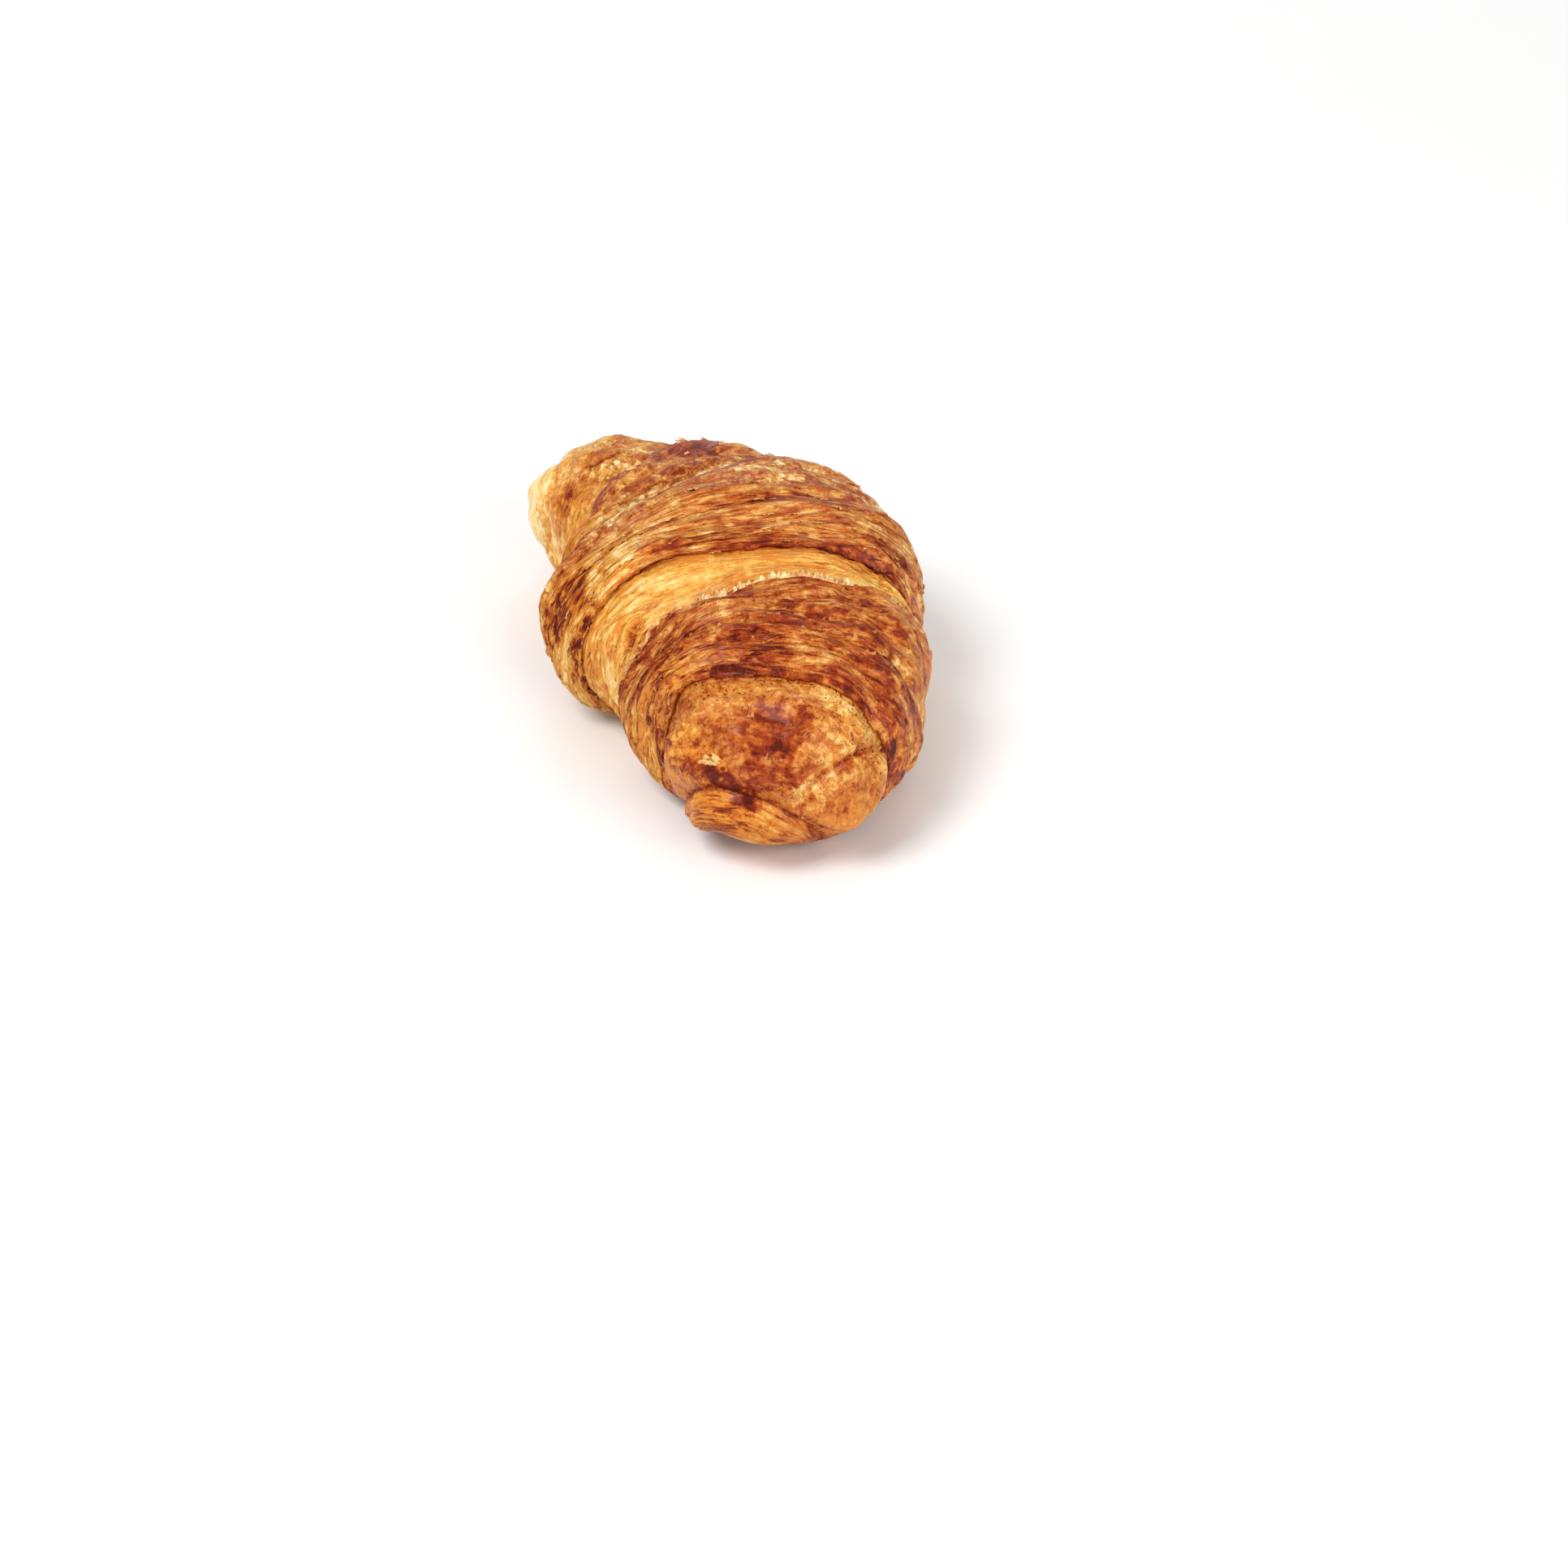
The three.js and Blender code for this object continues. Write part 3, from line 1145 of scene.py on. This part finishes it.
    def fine_relief(self, grid: Grid) -> dict[str, np.ndarray]:
        """Works out the fine forms of the crust, and the values that its finish reads.

        Args:
            grid: The skin's points.

        Returns:
            The relief in mm as "relief", and each point's bake, streak, mottle, dough and pores.
        """
        later = smooth(grid.across, 0.35, 0.7)
        ends = (self.of_wrap(grid, name) for name in ("streak", "mottle"))
        streak, mottle = (value[..., 0] + (value[..., 1] - value[..., 0]) * later for value in ends)
        points = self.roll.place(grid.walk, grid.angle, grid.height)
        flow = grid.flow
        valley, tip = grid.wrap == 3, grid.wrap == 5

        # The sides and the inner curve show strands, the top shows blotches
        broad = fractal(points / self.broad_size, 2, 11.0)
        low = smooth(-np.sin(grid.angle), -0.5, 0.4)
        inner = smooth(-np.cos(grid.angle), 0.3, 0.9)
        end_share = np.cos(grid.turn)
        strands = np.maximum(low, inner * later) * smooth(end_share, 0.1, 0.7)
        streak = np.clip(streak * (1.0 + 0.7 * broad) + 0.25 * strands + 0.35 * grid.form, 0.05, 1.3)
        mottle = np.clip(mottle * (1.0 - 0.5 * broad) * (1.0 - 0.6 * strands), 0.05, 1.3)

        # Layers, blisters, gashes along the layers and slits of the stretched dough
        lines = self.lines.on(flow)
        blister = fractal(points / self.blister_size, 4, 17.0)
        pimple = fractal(points / self.pimple_size, 3, 23.0)
        gash = np.exp(-((self.gashes.on(flow) / 0.04) ** 2)) * smooth(streak, 0.3, 0.9)
        slit = np.exp(-((self.slits.on(flow) / 0.05) ** 2)) * inner * smooth(grid.across, 0.0, 0.1)
        before = np.where(grid.wrap == 2, smooth(grid.across, 0.6, 0.9), 0.0)
        slit *= np.where(valley, 1.0, before)
        crack = np.maximum(self.crack_share(grid), 0.8 * slit)
        groove = self.form_groove(grid)
        sheets = flow[..., 0] / self.sheet_width + 1.5 * self.sheet_drift.on(flow)
        lapped = (sheets - np.floor(sheets)) * smooth(lines, -0.35, 0.25)
        layers = 0.36 * lines + 0.22 * self.threads.on(flow)
        relief = streak * (layers - 0.45 * gash + 0.5 * (lapped - 0.35))
        relief += mottle * (0.42 * np.maximum(blister, -0.25) + 0.16 * pimple)
        relief *= (1.0 - 0.85 * grid.under) * end_share**0.5
        relief -= crack + 0.35 * groove

        # The bake, with the cream stub of the far end, the dark cracks, the browned base, and the painted
        # shade and light that the profiles and one patch add
        bake = self.of_wrap(grid, "bake") - 0.04
        bake += 0.14 * broad + 0.12 * mottle * blister + 0.1 * streak * lines
        cream = self.stub_share(grid)
        bake += self.patch_bake_and_dimple_shade(grid) + self.profile_bake_and_painted_shading(grid) - 0.33 * cream
        mottle = mottle * (1.0 - 0.8 * cream)
        bake += 0.5 * crack + 0.28 * groove + 0.22 * grid.under - 0.05 * low

        # The valley, the far tip and the start of the near tip show softer yellow dough
        softer = 0.55 * low + 0.9 * inner * later + 0.45 * tip * smooth(-broad, -0.1, 0.3)
        dough = np.clip(softer, 0.0, 1.0)
        dough = np.where(tip, np.maximum(dough, 0.35 * fall(grid.across, 0.1, 0.45)), dough)
        dough = np.where(valley, 1.0, np.where(grid.wrap == 0, np.maximum(dough, 0.4), dough))
        pores = np.where(tip, fall(grid.across, 0.1, 0.4), 0.0) + 0.3 * mottle
        pores = np.where(valley, 0.12, pores)
        values = (bake, streak, mottle, dough, pores)
        return {"relief": relief, **dict(zip(SKIN_VALUES, values))}

    def of_wrap(self, grid: Grid, name: str) -> np.ndarray:
        """One named value of the wrap that each point lies on."""
        return np.array([getattr(wrap, name) for wrap in self.roll.wraps])[grid.wrap]

    def unrolled(self, grid: Grid, place: tuple[float, float]) -> tuple[np.ndarray, np.ndarray]:
        """Distances of all points from one place on the unrolled crust.

        Args:
            grid: The skin's points.
            place: The walk, and the angle in degrees.

        Returns:
            Millimetres along the roll and round it.
        """
        turn = np.angle(np.exp(1j * (grid.angle - math.radians(place[1]))))
        along = (grid.walk - place[0]) * self.roll.half_length
        return along, turn * self.flow_radius * np.cos(grid.turn)

    def crack_share(self, grid: Grid) -> np.ndarray:
        """How deep the points lie in the named cracks.

        Args:
            grid: The skin's points.

        Returns:
            The depth at each point, mm.
        """
        share = np.zeros_like(grid.walk)
        wobble = 0.5 * fractal(grid.flow / 2.5, 3, 51.0)
        for crack in self.cracks:
            along, around = self.unrolled(grid, crack.start)
            end_along = (crack.end[0] - crack.start[0]) * self.roll.half_length
            middle = np.array((crack.start[0] + crack.end[0]) / 2.0)
            reach = self.flow_radius * float(np.cos(self.roll.turn_at(middle)))
            end_around = math.radians(crack.end[1] - crack.start[1]) * reach
            length = math.hypot(end_along, end_around)
            t = (along * end_along + around * end_around) / length**2
            off = (along * end_around - around * end_along) / length + wobble
            ends = smooth(t, -0.1, 0.15) * fall(t, 0.85, 1.1)
            share = np.maximum(share, crack.depth * ends * np.exp(-((off / crack.width) ** 2)))
        return share

    def stub_share(self, grid: Grid) -> np.ndarray:
        """How far the points lie on the cream stub of the far end.

        Args:
            grid: The skin's points.

        Returns:
            1 on the stub and 0 away from it.
        """
        stub = self.roll.end_forms[-1]
        apart = np.hypot(*self.roll.from_form(stub, grid.walk, grid.angle))
        apart += 4.0 * fractal(grid.flow / 5.0, 4, 81.0)
        return np.where(grid.walk < 0, fall(apart, 4.0, 16.0), 0.0)

    def form_groove(self, grid: Grid) -> np.ndarray:
        """How deep the points lie in the groove round a form of the two ends.

        Args:
            grid: The skin's points.

        Returns:
            1 in the groove and 0 beside it.
        """
        share = np.zeros_like(grid.walk)
        wobble = 0.6 * fractal(grid.flow / 3.0, 3, 61.0)
        for form in self.roll.end_forms:
            apart = np.hypot(*self.roll.from_form(form, grid.walk, grid.angle))
            line = np.exp(-(((apart - form.radius + wobble) / 0.55) ** 2))
            share = np.maximum(share, np.where(np.sign(grid.walk) == form.end, line, 0.0))
        return share * smooth(wobble, -0.45, -0.1)

    def patch_bake_and_dimple_shade(self, grid: Grid) -> np.ndarray:
        """The named spots that are baked more or less, and the painted shade of a dimple in the valley.

        Args:
            grid: The skin's points.

        Returns:
            What they add to the bake.
        """
        added = np.zeros_like(grid.walk)
        rough = fractal(grid.flow / 3.0, 4, 41.0)
        for patch in self.patches:
            along, around = self.unrolled(grid, (patch.walk, patch.angle))
            reach = np.hypot(along / patch.along, around / patch.around) + 0.7 * rough
            added += patch.bake * fall(reach, 0.6, 1.1)
        return added

    def profile_bake_and_painted_shading(self, grid: Grid) -> np.ndarray:
        """How the bake changes across each wrap, from its hidden start to its raised middle, with painted
        shade in the creases along the edges and painted light on the valley's outer side.

        Args:
            grid: The skin's points.

        Returns:
            What it adds to the bake.
        """
        across, gap = grid.across, grid.edge_gap
        inner = smooth(-np.cos(grid.angle), 0.1, 0.9)
        outer = smooth(np.cos(grid.angle), 0.0, 0.8)
        first, second, third, valley, fourth, tip = (grid.wrap == i for i in range(len(self.roll.wraps)))
        crest = smooth(across, 0.08, 0.13) * fall(across, 0.24, 0.36)
        third_lip = 0.2 * fall(across, 0.04, 0.09) + 0.1 * smooth(across, 0.96, 0.995)
        third_inner = 0.2 * inner * smooth(across, 0.6, 0.9)
        fourth_end = 0.04 * smooth(across, 0.55, 0.95) + 0.1 * smooth(across, 0.94, 0.985)
        profiles = (
            (first, -0.1 * smooth(across, 0.9, 0.96)),
            (second, 0.22 * fall(across, 0.12, 0.42) - 0.2 * smooth(across, 0.74, 0.9)),
            (third, third_lip - 0.06 * crest - third_inner - 0.02 * smooth(across, 0.5, 0.7)),
            # the valley is paler towards both sides; on its outer side this is painted light against the
            # shadow that the wrap beside it casts
            (valley, 0.01 - 0.13 * outer - 0.13 * inner),
            (fourth, fourth_end * (1.0 - 0.8 * inner) - 0.2 * fall(across, 0.0, 0.07)),
            (tip, 0.16 * inner - 0.09 * fall(across, 0.08, 0.3)),
            (~valley & ~tip, 0.12 * np.exp(-gap / 0.9)),  # painted shade in the creases along the edges of the wraps
            # painted shade next to the edges at the start of the valley and of the near tip, under the lip
            # before them
            ((valley & (across < 0.5)) | tip, 0.2 * np.exp(-gap / 0.5) * (1.0 - 0.6 * inner)),
        )
        return sum(np.where(where, profile, 0.0) for where, profile in profiles)

    def height_near(self, wrap: int, walk: float, angle: float) -> float:
        """Height of the finished skin near a place.

        Args:
            wrap: The wrap that the place is on.
            walk: Its walk.
            angle: Its angle.

        Returns:
            The height off the plain section, mm.
        """
        column = int(np.argmin(np.abs(np.angle(np.exp(1j * (self.skin.angle[0] - angle))))))
        rows = self.skin.wrap[:, column] == wrap
        return float(np.interp(walk, self.skin.walk[rows, column], self.skin.height[rows, column]))

    def build(self, material: bpy.types.Material) -> bpy.types.Object:
        """Makes the skin.

        Args:
            material: Its finish.

        Returns:
            The piece, which stands for the solid.
        """
        grid = self.grid()
        fine = self.fine_relief(grid)
        grid.height = grid.height + fine["relief"]
        self.skin = grid
        points = self.roll.place(grid.walk, grid.angle, grid.height)
        row_count = points.shape[0]

        mesh = bmesh.new()
        bmesh.ops.create_uvsphere(mesh, u_segments=self.around, v_segments=row_count - 1, radius=1.0)
        mesh.verts.ensure_lookup_table()
        sphere = np.array([v.co for v in mesh.verts])
        row = np.rint(np.arccos(np.clip(sphere[:, 2], -1, 1)) / math.pi * (row_count - 1)).astype(int)
        turn = np.arctan2(sphere[:, 1], sphere[:, 0]) / (2.0 * math.pi)
        column = np.rint(turn * self.around).astype(int) % self.around
        for vertex, place in zip(mesh.verts, points[row, column] * MM):
            vertex.co = place
        piece = finish_mesh("croissant_crust", mesh, material)

        data = piece.data
        for name in SKIN_VALUES:
            layer = data.attributes.new(name, "FLOAT", "POINT")
            layer.data.foreach_set("value", fine[name][row, column].astype(np.float32))
        flow = data.attributes.new("flow", "FLOAT_VECTOR", "POINT")
        flow.data.foreach_set("vector", grid.flow[row, column].astype(np.float32).ravel())
        return piece


@dataclass
class Flakes:
    """Thin torn flakes of pastry that stand up along an edge or lie on a wrap."""

    crust: Crust
    name: str
    wrap: int
    across: tuple[float, float]  # share of the way across the wrap
    angles: tuple[float, float]  # degrees
    count: int
    length: tuple[float, float]  # mm round the section
    reach: tuple[float, float]  # mm along the roll
    lift: tuple[float, float]  # mm off the crust
    towards: float = -1.0  # which way along the roll the free rim points
    thickness: float = 0.14
    seed: int = 1

    def build(self, material: bpy.types.Material) -> bpy.types.Object:
        """Makes the flakes as one mesh.

        Args:
            material: Their finish.

        Returns:
            The piece.
        """
        draw = np.random.default_rng(self.seed)
        mesh = bmesh.new()
        for _ in range(self.count):
            self.add_flake(mesh, draw)
        bmesh.ops.recalc_face_normals(mesh, faces=mesh.faces)
        return finish_mesh(self.name, mesh, material)

    def add_flake(self, mesh: bmesh.types.BMesh, draw: np.random.Generator) -> None:
        """Adds one flake: a small bent sheet that grows out of the crust.

        Args:
            mesh: The mesh that takes it.
            draw: The seeded random numbers.
        """
        roll = self.crust.roll
        angle = math.radians(draw.uniform(*self.angles))
        across = draw.uniform(*self.across)
        size = draw.uniform() ** 2.0
        spans = (self.length, self.reach, self.lift)
        length, reach, lift = (span[0] + (span[1] - span[0]) * size for span in spans)
        skew, wave = draw.uniform(-0.9, 0.9), draw.uniform(0.0, 6.0)
        root = float(roll.walk_in(self.wrap, np.array(across), np.array(angle)))
        base = self.crust.height_near(self.wrap, root, angle)
        sheet = bmesh.new()
        bmesh.ops.create_grid(sheet, x_segments=6, y_segments=3, size=1.0)
        for vertex in sheet.verts:
            u, v = vertex.co.x, (vertex.co.y + 1.0) / 2.0
            ragged = 0.3 * math.sin(5.0 * u + wave) + 0.22 * math.sin(11.0 * u + 2.0 * wave)
            narrow = 1.0 - 0.6 * v * abs(u) ** 1.5
            a = angle + (u * narrow * length / 2.0 + skew * v * reach) / self.crust.flow_radius
            walk = root + self.towards * v * (1.0 + ragged) * reach / roll.half_length
            curl = lift * v**1.4 + 0.2 * math.sin(3.0 * u + wave) * v - 0.25 * (1.0 - v) - 0.15 * u * u
            point = roll.place(np.array(walk), np.array(a), np.array(base + curl))
            vertex.co = Vector(point.tolist()) * MM
        bmesh.ops.recalc_face_normals(sheet, faces=sheet.faces)
        middle = sum((face.normal for face in sheet.faces), Vector()).normalized()
        grown = bmesh.ops.extrude_face_region(sheet, geom=sheet.faces[:], use_keep_orig=True)["geom"]
        lower = [part for part in grown if isinstance(part, bmesh.types.BMVert)]
        bmesh.ops.translate(sheet, vec=middle * self.thickness * MM, verts=lower)
        join(mesh, sheet)


def join(target: bmesh.types.BMesh, source: bmesh.types.BMesh) -> None:
    """Adds one bmesh to another and frees it.

    Args:
        target: The bmesh that grows.
        source: The bmesh that is added.
    """
    data = bpy.data.meshes.new("part")
    source.to_mesh(data)
    source.free()
    target.from_mesh(data)
    bpy.data.meshes.remove(data)


@dataclass(frozen=True)
class Lamp:
    """A square light that faces the croissant."""

    name: str
    place: tuple[float, float, float]  # metres
    size: float  # metres
    power: float  # watts


@dataclass(frozen=True)
class Studio:
    """Pale floor, soft light and the camera."""

    azimuth: float = 70.63  # degrees, where the camera stands
    elevation: float = 33.7
    distance: float = 0.9
    image: float = 1932.0  # pixels, the frame's side
    focal: float = 5526.0  # pixels
    aim_at: tuple[float, float, float] = (0.0, -6.0, 20.0)  # mm, from the middle of the centre line
    aim_pixel: tuple[float, float] = (873.4, 760.2)
    surround: float = 0.46  # strength of the white surround
    lamps: tuple[Lamp, ...] = (
        Lamp("key_light", (0.12, -0.55, 0.85), 0.5, 7.2),
        Lamp("front_fill", (0.78, 0.3, 0.42), 0.7, 4.5),
        Lamp("back_light", (-0.65, 0.35, 0.55), 0.6, 1.8),
    )

    def build(self, roll: Roll) -> None:
        """Makes the floor, the lights and the camera.

        Args:
            roll: The roll that they are set round.
        """
        self.floor()
        self.lights()
        self.camera(roll)

    def floor(self) -> None:
        """Lays a wide pale floor just under the croissant."""
        nodes = Nodes("pale_floor")
        place = nodes.add("ShaderNodeTexCoord").outputs["Object"]
        cloud = nodes.pattern(place, Grain(6.0, 6.0, 2.0, 0.5))
        colour = nodes.mix(cloud, (0.86, 0.86, 0.855, 1.0), (0.9, 0.9, 0.895, 1.0))
        nodes.shade({"Base Color": colour, "Roughness": 0.7})
        mesh = bmesh.new()
        bmesh.ops.create_grid(mesh, x_segments=2, y_segments=2, size=3.0)
        bmesh.ops.translate(mesh, vec=(0.0, 0.0, -0.0001), verts=mesh.verts)
        finish_mesh("floor", mesh, nodes.material)

    def lights(self) -> None:
        """Hangs a large soft light, a fill in front, a low one behind, and a white surround."""
        for lamp in self.lamps:
            light = bpy.data.lights.new(lamp.name, "AREA")
            light.shape = "SQUARE"
            light.size = lamp.size
            light.energy = lamp.power
            holder = bpy.data.objects.new(lamp.name, light)
            towards = Vector((0.0, 0.0, 0.02)) - Vector(lamp.place)
            turn = towards.to_track_quat("-Z", "Y").to_matrix().to_4x4()
            holder.matrix_world = Matrix.Translation(lamp.place) @ turn
            bpy.context.scene.collection.objects.link(holder)
        world = bpy.data.worlds.new("surround")
        bpy.context.scene.world = world
        world.use_nodes = True
        background = world.node_tree.nodes["Background"]
        background.inputs["Color"].default_value = (1.0, 1.0, 1.0, 1.0)
        background.inputs["Strength"].default_value = self.surround

    def camera(self, roll: Roll) -> None:
        """Sets the camera at the photograph's angle and framing, by its aim alone.

        Args:
            roll: The roll, for the frame's origin.
        """
        a, e = math.radians(self.azimuth), math.radians(self.elevation)
        back = Vector((math.sin(a) * math.cos(e), -math.cos(a) * math.cos(e), math.sin(e)))
        target = (Vector(self.aim_at) - roll.middle) * MM
        place = target + back * self.distance
        right = Vector((math.cos(a), math.sin(a), 0.0))
        up = back.cross(right)
        off_x = self.aim_pixel[0] - self.image / 2.0
        off_y = self.image / 2.0 - self.aim_pixel[1]
        forward = (-back * self.focal - right * off_x - up * off_y).normalized()
        right = forward.cross(Vector((0.0, 0.0, 1.0))).normalized()
        up = right.cross(forward)
        data = bpy.data.cameras.new("camera")
        data.sensor_width = 36.0
        data.lens = self.focal / self.image * data.sensor_width
        data.clip_start = 0.01
        camera = bpy.data.objects.new("camera", data)
        turn = Matrix((right, up, -forward)).transposed().to_4x4()
        camera.matrix_world = Matrix.Translation(place) @ turn
        bpy.context.scene.collection.objects.link(camera)
        bpy.context.scene.camera = camera


def loose_pastry(skin: Crust) -> list[tuple[Flakes, bpy.types.Material]]:
    """Lists the small pieces of loose pastry.

    Args:
        skin: The crust that they grow out of.

    Returns:
        Each piece's maker and its finish.
    """
    torn = FlakeFinish("torn_edge", CrustTone.STRAW, CrustTone.CREAM).build()
    gold = FlakeFinish("gold_flake", CrustTone.AMBER, CrustTone.PALE).build()
    brown = FlakeFinish("brown_flake", CrustTone.CHESTNUT, CrustTone.GOLD).build()
    fringe = Flakes(
        skin, "valley_fringe", 4, (0.0, 0.06), (60, 118), 150, (0.4, 1.8), (0.3, 1.3), (0.0, 0.25), seed=4
    )
    strands = Flakes(
        skin, "valley_strands", 4, (0.0, 0.06), (112, 170), 46, (1.5, 6.0), (0.3, 0.9), (0.0, 0.5), seed=5
    )
    far = Flakes(
        skin, "far_flakes", 1, (0.0, 1.0), (10, 170), 50, (0.8, 3.5), (0.4, 1.3), (0.0, 0.35), seed=6
    )
    broad = Flakes(
        skin, "broad_flakes", 2, (0.0, 1.0), (0, 180), 130, (0.8, 3.5), (0.4, 1.4), (0.0, 0.35), 1.0, seed=7
    )
    lined = Flakes(
        skin, "lined_flakes", 4, (0.05, 1.0), (0, 185), 130, (0.8, 4.0), (0.3, 0.9), (0.0, 0.3), seed=8
    )
    near_tip = Flakes(
        skin, "near_tip_flakes", 5, (0.02, 0.7), (10, 190), 60, (0.8, 3.0), (0.3, 1.0), (-0.05, 0.12), seed=9
    )
    stub = Flakes(
        skin, "stub_flake", 0, (0.06, 0.07), (152, 153), 2, (3.2, 3.2), (2.4, 2.4), (0.6, 0.6),
        thickness=0.3, seed=2,
    )
    strip = Flakes(
        skin, "torn_strip", 5, (0.62, 0.68), (138, 146), 4, (9.0, 12.0), (0.8, 1.3), (0.35, 0.55),
        thickness=0.2, seed=3,
    )
    return [
        (fringe, torn), (strands, gold), (far, gold), (broad, gold),
        (lined, brown), (near_tip, brown), (stub, brown), (strip, gold),
    ]


def main() -> None:
    """Builds the scene piece by piece."""
    logging.basicConfig(level=logging.INFO, format="%(message)s")
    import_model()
    bpy.context.scene.view_settings.view_transform = "Standard"

    roll = Roll()
    skin = Crust(roll)
    crust = skin.build(CrustFinish().build())
    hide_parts(NODE)
    pieces = [crust] + [maker.build(finish) for maker, finish in loose_pastry(skin)]
    for piece in pieces:
        LOG.info("%s: %d faces", piece.name, len(piece.data.polygons))
        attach(piece, "root")

    Studio().build(roll)


if __name__ == "__main__":
    main()
